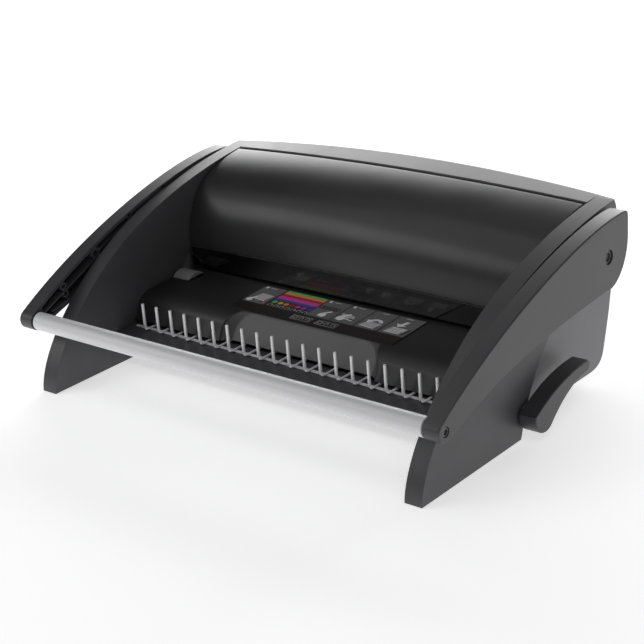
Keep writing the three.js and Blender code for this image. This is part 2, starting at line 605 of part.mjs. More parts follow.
// A socket screw whose head lies below the outer face of its arm by a depth less the head's own height.
function screw(span, { head, shank, tip, depth, place }) {
  const root = ARM_OUT - depth;
  const headRod = rodX(head, ...span(root, root + 2.4), place);
  const shankRod = rodX(shank, ...span(tip, root + 0.5), place, 12);
  const socket = rodX(head / 2, ...span(root + 0.9, ARM_OUT), place, 6);
  return cut(joined(headRod, shankRod), socket);
}

const HANDLE_CRANK = { hub: 10, half: 4.5, pin: 2.5, thick: 5 };

function handleCrank(span) {
  const [x0, x1] = span(CRANK_X, CRANK_X + HANDLE_CRANK.thick);
  const pin = crankPin();
  const web = slab(limb([PIVOT.y, PIVOT.z], [pin.y, pin.z], HANDLE_CRANK.half), x0, x1);
  const stud = rodX(HANDLE_CRANK.pin, ...span(CRANK_X - 5.4, CRANK_X + 4), pin, 16);
  const parts = joined(rodX(HANDLE_CRANK.hub, x0, x1, PIVOT), web, stud);
  return cut(parts, rodX(SHAFT_R + GAP, x0 - 1, x1 + 1, PIVOT));
}

for (const { name, span } of SIDES) {
  add(`${name}_handle_arm`, handleArm(span), CHARCOAL);
  add(`${name}_pivot_screw`, screw(span, PIVOT_SCREW), DARK_STEEL);
  add(`${name}_grip_screw`, screw(span, GRIP_SCREW), DARK_STEEL);
  add(`${name}_handle_crank`, handleCrank(span), DARK_STEEL);
}
const TUBE_END = ARM_IN - GAP;
add('grip_tube', tubeX(GRIP.r, 5.2, -TUBE_END, TUBE_END, GRIP), SILVER);
add('drive_shaft', rodX(SHAFT_R, -TUBE_END, TUBE_END, PIVOT), STEEL);

// ---- centre the machine over the origin, with its feet on the ground plane ----
const bounds = new THREE.Box3().setFromObject(machine);
machine.position.set(0, -(bounds.min.y + bounds.max.y) / 2, -bounds.min.z);

export default machine;
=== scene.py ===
import math
from collections import namedtuple

import bmesh
import bpy
from mathutils import Matrix, Vector


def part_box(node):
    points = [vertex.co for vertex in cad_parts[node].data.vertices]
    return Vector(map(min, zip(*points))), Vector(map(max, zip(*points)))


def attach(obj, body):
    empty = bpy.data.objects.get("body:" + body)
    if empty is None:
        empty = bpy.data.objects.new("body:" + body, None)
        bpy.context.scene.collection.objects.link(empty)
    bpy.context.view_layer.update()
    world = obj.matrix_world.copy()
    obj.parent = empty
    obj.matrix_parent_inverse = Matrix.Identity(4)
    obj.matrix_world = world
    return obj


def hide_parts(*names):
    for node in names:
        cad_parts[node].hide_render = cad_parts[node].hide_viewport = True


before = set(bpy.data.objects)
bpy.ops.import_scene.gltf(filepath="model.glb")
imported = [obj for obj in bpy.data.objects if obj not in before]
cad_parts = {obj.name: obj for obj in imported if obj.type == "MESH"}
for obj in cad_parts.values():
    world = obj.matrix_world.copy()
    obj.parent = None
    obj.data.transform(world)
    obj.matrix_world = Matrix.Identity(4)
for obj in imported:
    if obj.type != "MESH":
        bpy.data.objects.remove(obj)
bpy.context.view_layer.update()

# ---- places: design millimetres, with Y counted from the front edge of the feet ----
MM = 0.001
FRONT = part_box("left_side_panel")[0].y
Box = namedtuple("Box", "x0 x1 y0 y1 z0 z1")
Axis = namedtuple("Axis", "y z r")


def at(x, y, z):
    return Vector((x * MM, FRONT + y * MM, z * MM))


def box(node):
    """The box of a CAD node."""
    low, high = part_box(node)
    y0, y1 = (low.y - FRONT) / MM, (high.y - FRONT) / MM
    return Box(low.x / MM, high.x / MM, y0, y1, low.z / MM, high.z / MM)


def axis(node):
    """The middle and radius of a round CAD node that lies along X."""
    place = box(node)
    return Axis((place.y0 + place.y1) / 2, (place.z0 + place.z1) / 2, (place.z1 - place.z0) / 2)


PANEL = box("right_side_panel")
ARM_IN = box("comb_lever").x0
ARM_FACE = ARM_IN + 1  # the moulded arms stand a little farther from the panels
ARM_OUT = box("right_handle_arm").x1
PIVOT = axis("drive_shaft")
GRIP = axis("grip_tube")
LEVER = axis("opener_shaft")
COVER = box("front_cover")
STRIP = box("throat_fascia")
DECK = box("deck_cover")
LABEL = box("instruction_label")
FINGERS = box("finger_plate")
RING_X = [sum(box(f"punch_pin_{k:02d}")[:2]) / 2 for k in range(1, 22)]
SIDES = (("left", -1), ("right", 1))

SHELL = 2.5  # wall of the plastic covers
CROWN = 4.8  # rise of cover and bridge at mid width
REAR_CROWN = 6.5
REAR_BOW = 8  # how far the rear wall bows out at mid width
BRIDGE_Y = 219.4  # front edge of the bridge behind the cover
REAR_Y = 236
ARCH_Z = (60, 127)  # cover and bridge rise towards mid width from the first height up
SHAFT_ROOM = 0.4  # air around a turning shaft
DECK_FALL = 0.0465  # slope of the deck, down towards the front
HAIR = 0.03  # air between visual pieces that look like one moulding


# ---- curves ----
def bezier(a, b, c, d, steps=40):
    a, b, c, d = (Vector(p) for p in (a, b, c, d))
    points = []
    for k in range(steps + 1):
        t = k / steps
        p = a * (1 - t) ** 3 + b * 3 * t * (1 - t) ** 2 + c * 3 * t * t * (1 - t) + d * t ** 3
        points.append((p.x, p.y))
    return points


def quadratic(a, b, c, steps=16):
    a, b, c = (Vector(p) for p in (a, b, c))
    return bezier(a, a.lerp(b, 2 / 3), c.lerp(b, 2 / 3), c, steps)


def on_circle(centre, radius, degrees):
    angle = math.radians(degrees)
    return (centre[0] + radius * math.cos(angle), centre[1] + radius * math.sin(angle))


def arc(centre, radius, start, end, steps=24):
    return [on_circle(centre, radius, start + (end - start) * k / steps) for k in range(steps + 1)]


def circle(centre, radius, steps=24):
    return arc(centre, radius, 0, 360, steps)[:-1]


def line(a, b, steps):
    return [tuple(Vector(a).lerp(Vector(b), k / steps)) for k in range(steps + 1)]


def rectangle(a, b):
    return [(a[0], b[0]), (a[1], b[0]), (a[1], b[1]), (a[0], b[1])]


def chained(*runs):
    """One outline from several runs of points, without the points they share."""
    outline = []
    for point in (p for run in runs for p in run):
        if not outline or math.dist(outline[-1], point) > 0.02:
            outline.append(point)
    if math.dist(outline[0], outline[-1]) < 0.02:
        outline.pop()
    return outline


def offset(points, distance):
    """A closed outline moved to the left of its direction of travel."""
    moved = []
    for before, here, after in zip(points[-1:] + points[:-1], points, points[1:] + points[:1]):
        travel = Vector((after[0] - before[0], after[1] - before[1])).normalized()
        moved.append((here[0] - travel.y * distance, here[1] + travel.x * distance))
    return moved


def ramp(value, start, end):
    return min(max((value - start) / (end - start), 0), 1)


def arch_share(x):
    return 1 - (x / PANEL.x1) ** 2


def along_x(a, b, t):
    return at(t, a, b)


def along_z(a, b, t):
    return at(a, b, t)


def arched(y, z, x):
    """Along X, with the rear rising and bowing out towards mid width."""
    back = ramp(y, BRIDGE_Y, REAR_Y)
    rise = (CROWN + (REAR_CROWN - CROWN) * back) * ramp(z, *ARCH_Z)
    return at(x, y + REAR_BOW * back * arch_share(x), z + rise * arch_share(x))


# ---- meshes ----
def piece_from(name, shape):
    bmesh.ops.recalc_face_normals(shape, faces=shape.faces)
    mesh = bpy.data.meshes.new(name)
    shape.to_mesh(mesh)
    shape.free()
    piece = bpy.data.objects.new(name, mesh)
    bpy.context.scene.collection.objects.link(piece)
    return piece


def extruded(name, outline, start, end, place=along_x, sections=1):
    """A closed body: an outline drawn in two directions and swept along the third."""
    shape = bmesh.new()
    spots = [start + (end - start) * k / sections for k in range(sections + 1)]
    rings = [[shape.verts.new(place(a, b, t)) for a, b in outline] for t in spots]
    shape.faces.new(rings[0])
    shape.faces.new(rings[-1])
    for before, after in zip(rings, rings[1:]):
        for i in range(len(outline)):
            j = (i + 1) % len(outline)
            shape.faces.new((before[i], before[j], after[j], after[i]))
    return piece_from(name, shape)


def turned(name, profile, centre, place, sides=32):
    """A closed body turned about an axis: the profile is a run of radius and place along that axis."""
    shape = bmesh.new()
    rings = []
    for radius, along in profile:
        if radius == 0:
            rings.append([shape.verts.new(place(*centre, along))] * sides)
            continue
        rings.append([shape.verts.new(place(a, b, along)) for a, b in circle(centre, radius, sides)])
    for before, after in zip(rings, rings[1:]):
        for i in range(sides):
            j = (i + 1) % sides
            corners = dict.fromkeys((before[i], before[j], after[j], after[i]))
            shape.faces.new(list(corners))
    return piece_from(name, shape)


def shell(name, rows, thickness):
    """A closed sheet: rows of points are its outer face, and its inner face lies behind them."""
    shape = bmesh.new()
    high, wide = len(rows), len(rows[0])

    def behind(i, j):
        down = rows[min(i + 1, high - 1)][j] - rows[max(i - 1, 0)][j]
        across = rows[i][min(j + 1, wide - 1)] - rows[i][max(j - 1, 0)]
        return rows[i][j] + down.cross(across).normalized() * thickness * MM

    outer = [[shape.verts.new(p) for p in row] for row in rows]
    inner = [[shape.verts.new(behind(i, j)) for j in range(wide)] for i in range(high)]
    for i in range(high - 1):
        for j in range(wide - 1):
            for face in (outer, inner):
                shape.faces.new((face[i][j], face[i][j + 1], face[i + 1][j + 1], face[i + 1][j]))
    border = [(0, j) for j in range(wide)] + [(i, wide - 1) for i in range(1, high)]
    border += [(high - 1, j) for j in range(wide - 2, -1, -1)] + [(i, 0) for i in range(high - 2, 0, -1)]
    for (i, j), (k, m) in zip(border, border[1:] + border[:1]):
        shape.faces.new((outer[i][j], outer[k][m], inner[k][m], inner[i][j]))
    return piece_from(name, shape)


def copy_of(node, name):
    """A new piece with the shape of a CAD node, its shared corners merged."""
    shape = bmesh.new()
    shape.from_mesh(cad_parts[node].data)
    bmesh.ops.remove_doubles(shape, verts=shape.verts, dist=1e-6)
    return piece_from(name, shape)


def bake(piece):
    """Makes the modifiers part of the mesh."""
    bpy.context.view_layer.update()
    graph = bpy.context.evaluated_depsgraph_get()
    mesh = bpy.data.meshes.new_from_object(piece.evaluated_get(graph))
    piece.modifiers.clear()
    piece.data = mesh
    return piece


def welded(piece):
    """Merges corners that lie on top of each other."""
    shape = bmesh.new()
    shape.from_mesh(piece.data)
    bmesh.ops.remove_doubles(shape, verts=shape.verts, dist=1e-6)
    bmesh.ops.recalc_face_normals(shape, faces=shape.faces)
    shape.to_mesh(piece.data)
    shape.free()
    return piece


def combined(piece, operation, *tools):
    """Joins the tools to a piece or cuts them from it, and takes them away."""
    for tool in tools:
        modifier = piece.modifiers.new("combine", "BOOLEAN")
        modifier.operation = operation
        modifier.solver = "EXACT"
        modifier.object = tool
        bake(piece)
        bpy.data.objects.remove(tool)
    return piece


def cut(piece, *tools):
    return combined(piece, "DIFFERENCE", *tools)


def block(x, y, z):
    return extruded("block", rectangle(x, y), *z, along_z)


def rod(radius, x0, x1, centre, sides=32):
    return extruded("rod", circle((centre.y, centre.z), radius, sides), x0, x1)


def side_span(sign, a, b):
    """From a to b on the right side, or their mirror image on the left."""
    return (a, b) if sign > 0 else (-b, -a)


def fillet(piece, width, segments=3, angle=32, wanted=None):
    """Rounds the sharp edges, or those whose middle is wanted, and smooths the shading between them."""
    shape = bmesh.new()
    shape.from_mesh(piece.data)
    bmesh.ops.remove_doubles(shape, verts=shape.verts, dist=2e-6)
    bmesh.ops.dissolve_limit(shape, angle_limit=math.radians(0.03), verts=shape.verts, edges=shape.edges)
    weight = shape.edges.layers.float.new("bevel_weight_edge")
    for edge in shape.edges:
        middle = (edge.verts[0].co + edge.verts[1].co) / 2
        spot = (middle.x / MM, (middle.y - FRONT) / MM, middle.z / MM)
        sharp = edge.is_manifold and edge.calc_face_angle() > math.radians(angle)
        edge[weight] = float(sharp and (wanted is None or wanted(spot)))
    shape.to_mesh(piece.data)
    shape.free()
    bevel = piece.modifiers.new("fillet", "BEVEL")
    bevel.limit_method = "WEIGHT"
    bevel.width = width * MM
    bevel.segments = segments
    bevel.use_clamp_overlap = False
    bake(piece)
    return smoothed(piece)


def smoothed(piece, angle=42):
    piece.data.shade_smooth()
    piece.data.set_sharp_from_angle(angle=math.radians(angle))
    weighted = piece.modifiers.new("shading", "WEIGHTED_NORMAL")
    weighted.keep_sharp = True
    return piece


def finished(piece, body, slot, material, *nodes):
    """Gives a piece its material and its body, and hides the CAD nodes it stands for. The slot is not used.
    """
    if material:
        piece.data.materials.clear()
        piece.data.materials.append(material)
    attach(piece, body)
    if nodes:
        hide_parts(*nodes)
    return piece


# ---- materials ----
class Graph:
    """A small helper that builds the node tree of one material."""

    def __init__(self, name):
        self.material = bpy.data.materials.new(name)
        self.material.use_nodes = True
        self.tree = self.material.node_tree
        self.shader = self.tree.nodes["Principled BSDF"]
        self.place = self.tree.nodes.new("ShaderNodeTexCoord").outputs["Object"]

    def link(self, output, socket):
        self.tree.links.new(output, self.shader.inputs[socket] if isinstance(socket, str) else socket)

    def noise(self, scale, detail=3, stretch=None):
        node = self.tree.nodes.new("ShaderNodeTexNoise")
        node.inputs["Scale"].default_value = scale
        node.inputs["Detail"].default_value = detail
        source = self.place
        if stretch:
            mapping = self.tree.nodes.new("ShaderNodeMapping")
            mapping.inputs["Scale"].default_value = stretch
            self.link(source, mapping.inputs["Vector"])
            source = mapping.outputs["Vector"]
        self.link(source, node.inputs["Vector"])
        return node.outputs["Fac"]

    def spread(self, source, low, high, start=0.3, end=0.7):
        node = self.tree.nodes.new("ShaderNodeMapRange")
        self.link(source, node.inputs["Value"])
        for socket, value in (("From Min", start), ("From Max", end), ("To Min", low), ("To Max", high)):
            node.inputs[socket].default_value = value
        return node.outputs["Result"]

    def mix(self, share, first, second):
        node = self.tree.nodes.new("ShaderNodeMix")
        node.data_type = "RGBA"
        self.link(share, node.inputs["Factor"])
        for socket, value in ((node.inputs["A"], first), (node.inputs["B"], second)):
            if isinstance(value, tuple):
                socket.default_value = (*value, 1)
            else:
                self.link(value, socket)
        return node.outputs["Result"]

    def bump(self, height, strength, distance, below=None):
        node = self.tree.nodes.new("ShaderNodeBump")
        node.inputs["Strength"].default_value = strength
        node.inputs["Distance"].default_value = distance
        self.link(height, node.inputs["Height"])
        if below:
            self.link(below, node.inputs["Normal"])
        return node.outputs["Normal"]

    def worn_and_highlit_edges(self, colour, worn_and_lit, amount):
        """Lighter along convex edges: partly wear where hands and paper polish the surface, partly a
        painted highlight on the edges.
        """
        sharpness = self.tree.nodes.new("ShaderNodeNewGeometry").outputs["Pointiness"]
        # convex edges lean towards the lighter colour: partly real wear, partly a painted highlight
        rubbed_and_lit = self.spread(sharpness, 0, amount, 0.52, 0.62)
        patchy = self.tree.nodes.new("ShaderNodeMath")
        patchy.operation = "MULTIPLY"
        self.link(rubbed_and_lit, patchy.inputs[0])
        self.link(self.noise(60, 4), patchy.inputs[1])
        return self.mix(patchy.outputs["Value"], colour, worn_and_lit)


def shade(colour, factor):
    return tuple(min(c * factor, 1) for c in colour)


def moulded_plastic(name, colour, roughness, grain=0.0, wear_and_highlight=0.0, coat=0.0):
    """Injection moulded plastic: faint mottling, a spark-eroded grain, and lighter edges that are partly
    polished by use and partly a painted highlight.
    """
    graph = Graph(name)
    mottled = graph.mix(graph.noise(35, 4), shade(colour, 0.9), shade(colour, 1.1))
    # edges up to 2.2 times lighter: partly wear, partly a painted highlight
    graph.link(graph.worn_and_highlit_edges(mottled, shade(colour, 2.2), wear_and_highlight), "Base Color")
    graph.link(graph.spread(graph.noise(18, 3), roughness - 0.03, roughness + 0.03), "Roughness")
    swell = graph.bump(graph.noise(55, 2), 0.04, 0.0004)
    graph.link(graph.bump(graph.noise(2600, 2), grain, 0.00006, swell), "Normal")
    graph.shader.inputs["Coat Weight"].default_value = coat
    graph.shader.inputs["Coat Roughness"].default_value = 0.03
    return graph.material


def metal(name, colour, roughness, stretch, metallic=1.0):
    """Plated or drawn metal with fine lines along one direction."""
    graph = Graph(name)
    lines = graph.noise(1, 5, stretch)
    tone = graph.mix(lines, shade(colour, 0.93), shade(colour, 1.05))
    graph.link(tone, "Base Color")
    graph.link(graph.spread(lines, roughness - 0.04, roughness + 0.05), "Roughness")
    graph.link(graph.bump(lines, 0.05, 0.00004), "Normal")
    graph.shader.inputs["Metallic"].default_value = metallic
    return graph.material


def ink(name, colour):
    """Print on a satin film: flat colour with the faint unevenness of a screen print."""
    graph = Graph(f"ink_{name}")
    graph.link(graph.mix(graph.noise(420, 3), shade(colour, 0.88), shade(colour, 1.1)), "Base Color")
    graph.link(graph.spread(graph.noise(90, 2), 0.27, 0.37), "Roughness")
    graph.link(graph.bump(graph.noise(900, 2), 0.05, 0.00003), "Normal")
    return graph.material


FINE_ALONG_X = (30, 4200, 4200)
FINE_ALONG_Z = (4200, 4200, 30)
CHARCOAL = moulded_plastic("charcoal_plastic", (0.056, 0.056, 0.060), 0.4, grain=0.12, wear_and_highlight=0.35)
# the panels' charcoal made about three times lighter for the rear shell: painted light on its lit side
REAR_CHARCOAL_PAINTED_LIT = moulded_plastic("rear_charcoal_painted_lit", (0.15, 0.15, 0.157), 0.4, grain=0.12, wear_and_highlight=0.35)
SATIN = moulded_plastic("satin_black_plastic", (0.026, 0.026, 0.028), 0.31, grain=0.03, wear_and_highlight=0.1)
GLOSS = moulded_plastic("gloss_black_plastic", (0.004, 0.004, 0.005), 0.09, coat=0.3)
DECK_BLACK = moulded_plastic("deck_plastic", (0.018, 0.018, 0.020), 0.4, grain=0.06, wear_and_highlight=0.1)
# the deck's black made lighter for the scoop: painted light, since the scoop faces up towards the lamps
SCOOP_PAINTED_LIT = moulded_plastic("scoop_plastic_painted_lit", (0.082, 0.082, 0.085), 0.4, grain=0.06)
SMOKE = moulded_plastic("smoke_plastic", (0.05, 0.05, 0.055), 0.4, grain=0.08, wear_and_highlight=0.2)
GREY = moulded_plastic("grey_plastic", (0.26, 0.26, 0.265), 0.42, grain=0.1, wear_and_highlight=0.2)
RUBBER = moulded_plastic("foot_rubber", (0.02, 0.02, 0.02), 0.85, grain=0.3)
FILM = ink("film", (0.012, 0.006, 0.006))
ALUMINIUM = metal("grip_metal", (0.80, 0.80, 0.83), 0.42, FINE_ALONG_X, metallic=0.12)
BRIGHT = metal("bright_steel", (0.94, 0.94, 0.95), 0.34, FINE_ALONG_Z, metallic=0.2)
GROUND = metal("punch_steel", (0.20, 0.20, 0.21), 0.45, FINE_ALONG_Z)
DULL = metal("dark_steel", (0.33, 0.34, 0.36), 0.42, FINE_ALONG_X)
# matte black as painted shade, for the hooks' bars behind the fingers
SHADE_BLACK = metal("painted_shade_black", (0.012, 0.012, 0.013), 0.5, FINE_ALONG_X, metallic=0.0)
BLACK_OXIDE = metal("screw_steel", (0.15, 0.15, 0.155), 0.4, FINE_ALONG_X, metallic=0.6)
BRASS = metal("bush_brass", (0.60, 0.42, 0.16), 0.3, FINE_ALONG_X)

# ---- side panels ----
PANEL_OUTLINE = chained(
    bezier((0, PANEL.z0), (1.2, 22), (26, 55), (66, 81.2)),
    bezier((66, 81.2), (111, 111), (175, 126), (233.5, 130.7)),
    bezier((233.5, 130.7), (236.4, 130.6), (237.4, 126), (238.6, 120), 10),
    [(240, 108)],
    bezier((240, 108), (184.4, 99.9), (124.7, 53.7), (112.2, 3.4)),
    [(110.8, PANEL.z0)],
)


def side_panel(name, sign):
    x0, x1 = side_span(sign, PANEL.x0, PANEL.x1)
    foot = box(f"front_{name}_foot")
    room = 0.3
    pocket = block((foot.x0 - room, foot.x1 + room), (foot.y0 - room, foot.y1 + room), (-1, foot.z1 + room))
    tools = [pocket, rod(PIVOT.r + SHAFT_ROOM, x0 - 1, x1 + 1, PIVOT)]
    if sign > 0:
        lever_room = 1
        tools.append(rod(LEVER.r + lever_room, x0 - 1, x1 + 1, LEVER))
    panel = cut(extruded(f"{name}_panel_moulding", PANEL_OUTLINE, x0, x1, arched), *tools)

    def outer_rear(spot):
        return abs(spot[0]) > PANEL.x1 - 0.2 and spot[1] > REAR_Y - 2 and spot[2] > 100

    def apart_from_bridge(spot):
        return not (abs(spot[0]) < PANEL.x0 + 0.5 and spot[1] > BRIDGE_Y - 2 and spot[2] > 120)

    fillet(panel, 2.4, 5, wanted=outer_rear)
    panel.modifiers.clear()
    fillet(panel, 0.7, wanted=apart_from_bridge)
    finished(panel, "housing", "charcoal_plastic", CHARCOAL, f"{name}_side_panel")


# ---- bridge, cover and gloss strip ----
def bridge():
    outline = chained(
        [(BRIDGE_Y, 127.2), (BRIDGE_Y, 128.8)],
        quadratic((BRIDGE_Y, 128.8), (BRIDGE_Y + 0.1, 129.7), (BRIDGE_Y + 0.9, 129.8), 4),
        [(BRIDGE_Y + 0.9, 129.8)],
        bezier((233.5, 130.7), (235.4, 130.7), (236.4, 129.6), (236.6, 127.8), 8),
        [(223, 127.8), (222, 124), (220.5, 124)],
    )
    half = PANEL.x0 - HAIR
    piece = extruded("top_bridge", outline, -half, half, arched, 40)
    smoothed(piece, 30)
    finished(piece, "housing", "charcoal_plastic", CHARCOAL, "top_frame")


COVER_CURVE = chained(
    [(152.7, 66)],
    bezier((152.7, 68), (154.5, 111), (175.8, 123.6), (217, 129.1), 56),
)


def cover():
    stations = [COVER.x0 + (COVER.x1 - COVER.x0) * k / 48 for k in range(49)]
    rows = [[at(x, y, z + CROWN * arch_share(x)) for x in stations] for y, z in COVER_CURVE]
    piece = shell("front_cover_panel", rows, SHELL)
    fillet(piece, 0.45, 3, 50)
    finished(piece, "housing", "satin_black_plastic", SATIN, "front_cover")


def gloss_strip():
    end_z = 65.7

    def lifted(y, z, x):
        return at(x, y, z + CROWN * arch_share(x) * ramp(z, STRIP.z0, end_z))

    outline = rectangle((STRIP.y0, STRIP.y1), (STRIP.z0, end_z))
    piece = extruded("gloss_strip", outline, STRIP.x0, STRIP.x1, lifted, 40)
    fillet(piece, 0.3, 3, 50)
    finished(piece, "housing", "gloss_black_plastic", GLOSS, "throat_fascia")


# ---- deck: one sheet that bends down at the front, with the finger scoop pressed into it ----
SCOOP_HALF, SCOOP_TOP, SCOOP_CORNER = 72, 50, 14
SCOOP_FOOT_Y, SCOOP_LIP_Y = 92.5, 105.4
SCOOP_WALL = (3, 9)  # width of the wall along the top and at the ends
SCOOP_WALL_X = (50, 66)  # the wall widens between these
DECK_FOOT = (86.2, 29.3)
KNEE = (92.2, 41.8)
TABLE_Y = 108
GUIDE_SLOT_Y = (136.6, 143.4)


def deck_z(y):
    return DECK.z1 - DECK_FALL * (DECK.y1 - y)


def scoop_depth(x, z):
    """0 outside the scoop and 1 on its floor, steep at the rim and soft at the floor."""
    across = abs(x) - (SCOOP_HALF - SCOOP_CORNER)
    up = z - (SCOOP_TOP - SCOOP_CORNER)
    inside = SCOOP_CORNER - math.hypot(max(across, 0), max(up, 0)) - min(max(across, up), 0)
    wall = SCOOP_WALL[0] + (SCOOP_WALL[1] - SCOOP_WALL[0]) * ramp(abs(x), *SCOOP_WALL_X)
    return math.sin(math.pi / 2 * ramp(inside, 0, wall))


def deck_profiles():
    """The deck from its foot to the throat, beside the scoop and through its middle."""
    edge = (TABLE_Y, deck_z(TABLE_Y))
    table = line(edge, (DECK.y1, DECK.z1), 10)[1:]
    slope = line(DECK_FOOT, KNEE, 12)[:-1] + bezier(KNEE, (95.5, 46.6), (103, 48), edge, 18)
    lip = (SCOOP_LIP_Y, deck_z(SCOOP_LIP_Y))
    foot = (SCOOP_FOOT_Y, DECK_FOOT[1])
    run_in = tuple(Vector(foot).lerp(Vector(lip), 0.86))
    floor = line(foot, run_in, 16)[:-1] + bezier(run_in, lip, lip, edge, 14)
    return slope + table, floor + table


def deck_stations():
    """Places across the deck, close together where the scoop's ends are."""
    dense_from, dense_to = 56, 73
    middle = [4 * k for k in range(14)]
    ends = [dense_from + 0.5 * k for k in range(2 * (dense_to - dense_from) + 1)]
    beside = [dense_to + (DECK.x1 - dense_to) * k / 20 for k in range(1, 21)]
    return sorted({round(sign * x, 2) for _, sign in SIDES for x in middle + ends + beside})


def deck():
    rows = []
    for outside, inside in zip(*deck_profiles()):
        row = []
        for x in deck_stations():
            y, z = Vector(outside).lerp(Vector(inside), scoop_depth(x, outside[1]))
            row.append(at(x, y, z))
        rows.append(row)
    piece = shell("deck_moulding", rows, SHELL)
    guide = box("edge_guide")
    cut(piece, block((guide.x0 + 4.4, guide.x1 + 2.4), GUIDE_SLOT_Y, (DECK.z1 - 10, DECK.z1 + 10)))
    smoothed(piece, 50)
    for material in (DECK_BLACK, SCOOP_PAINTED_LIT):
        piece.data.materials.append(material)
    # faces pressed into the scoop get the lighter grey, which is painted light
    for face in piece.data.polygons:
        y = (face.center.y - FRONT) / MM
        pressed = scoop_depth(face.center.x / MM, face.center.z / MM) > 0.15 and y < SCOOP_LIP_Y + 0.6
        face.material_index = int(pressed)
    finished(piece, "housing", "deck_plastic", None, "deck_cover")


# ---- label: a film with flat printed pictograms and a colour chart ----
INKS = {
    "white": (0.93, 0.93, 0.93),
    "grey": (0.15, 0.15, 0.155),
    "light": (0.55, 0.55, 0.57),
    "dark": (0.012, 0.01, 0.01),
    "green": (0.13, 0.55, 0.13),
    "orange": (0.85, 0.28, 0.06),
    "red": (0.45, 0.015, 0.02),
    "pink": (0.72, 0.06, 0.35),
    "purple": (0.38, 0.05, 0.48),
    "blue": (0.06, 0.05, 0.36),
    "yellow": (0.80, 0.50, 0.04),
}
FILM_RISE = (0.05, 0.58)  # underside and top of the film, above the deck
PRINT_RISE = 0.6
PRINT = 0.05  # thickness of one layer of print


class Print:
    """Collects flat closed patches of print, each in its own ink, into one piece."""

    def __init__(self):
        self.shape = bmesh.new()
        self.names = list(INKS)

    def patch(self, name, points, layer=1):
        low, high = [
            [self.shape.verts.new(at(x, y, deck_z(y) + PRINT_RISE + PRINT * level)) for x, y in points]
            for level in (layer - 1, layer - 0.2)
        ]
        faces = [self.shape.faces.new(low), self.shape.faces.new(high)]
        for i in range(len(points)):
            j = (i + 1) % len(points)
            faces.append(self.shape.faces.new((low[i], low[j], high[j], high[i])))
        for face in faces:
            face.material_index = self.names.index(name)

    def rectangle(self, name, x, y, layer=1):
        self.patch(name, rectangle(x, y), layer)

    def disc(self, name, x, y, radius, layer=1):
        self.patch(name, circle((x, y), radius, 20), layer)

    def ring(self, name, x, y, radius, width, layer=1):
        """A comb ring, open at the bottom."""
        outer = arc((x, y), radius, -60, 240, 16)
        self.patch(name, outer + arc((x, y), radius - width, 240, -60, 16), layer)

    def frame(self, name, x, y, width, layer=1):
        for a, b in ((y[0], y[0] + width), (y[1] - width, y[1])):
            self.rectangle(name, x, (a, b), layer)
        for a, b in ((x[0], x[0] + width), (x[1] - width, x[1])):
            self.rectangle(name, (a, b), (y[0] + width, y[1] - width), layer)


CELL_Y = (119.5, 148.2)
CELLS = ((-76.6, -56.2), (-15.3, 6.0), (7.0, 27.6), (28.6, 48.5), (49.8, 72.2))


def colour_chart(art):
    """Bands of colour, with a row of coloured discs and a row of comb rings in front of them."""
    bands = (("green", 3.1), ("orange", 3.1), ("red", 3.4), ("pink", 5.0), ("blue", 3.2))
    rear = 148.3
    for name, depth in bands:
        art.rectangle(name, (-54.3, -16.4), (rear - depth, rear))
        rear -= depth
    first, pitch = -50.9, 5.5
    for k, name in enumerate(("green", "yellow", "orange", "red", "pink", "purple", "blue")):
        art.disc(name, first + pitch * k, 127.4, 2.2)
        art.ring("light", first + pitch * k, 121.7, 2.1, 0.55)


def sheets(art, x, y, width, depth, lean):
    """A stack of paper seen in slant: a light sheet on a white edge."""
    sheet = [(0, 0), (width, -1), (width + lean, depth), (lean, depth + 1)]
    edge = [(0, -1.3), (width, -2.3), (width, -1.3), (0, -0.3)]
    art.patch("light", [(x + a, y + b) for a, b in sheet], 2)
    art.patch("white", [(x + a, y + b) for a, b in edge], 2)


def white_shape(art, x, y, size, points):
    """A white patch from points drawn at size 1 about its own origin."""
    art.patch("white", [(x + size * a, y + size * b) for a, b in points], 3)


def hand(art, x, y, size):
    """A pointing hand as a mitten: a palm and one finger."""
    palm = [(0.3, 0.7), (0.02, 0.4), (0, 0), (0.5, -0.15), (0.75, 0.2)]
    finger_shape = [(0.5, 0.55), (0.85, 1), (0.68, 1.1)]
    white_shape(art, x, y, size, palm + finger_shape)


def bent_arrow(art, x, y, size):
    outer = arc((0, 0), 1, 150, 20, 14)
    inner = arc((0, 0), 0.55, 20, 150, 14)
    white_shape(art, x, y, size, outer + inner)
    white_shape(art, x, y, size, [(-1.3, 0.45), (-0.15, 0.5), (-0.95, -0.35)])


def straight_arrow(art, x, y, size):
    white_shape(art, x, y, size, [(0.3, 1.6), (0.9, 1.5), (0.5, 0.5), (-0.1, 0.6)])
    white_shape(art, x, y, size, [(-0.7, 0.7), (1.0, 0.4), (-0.1, -0.2)])


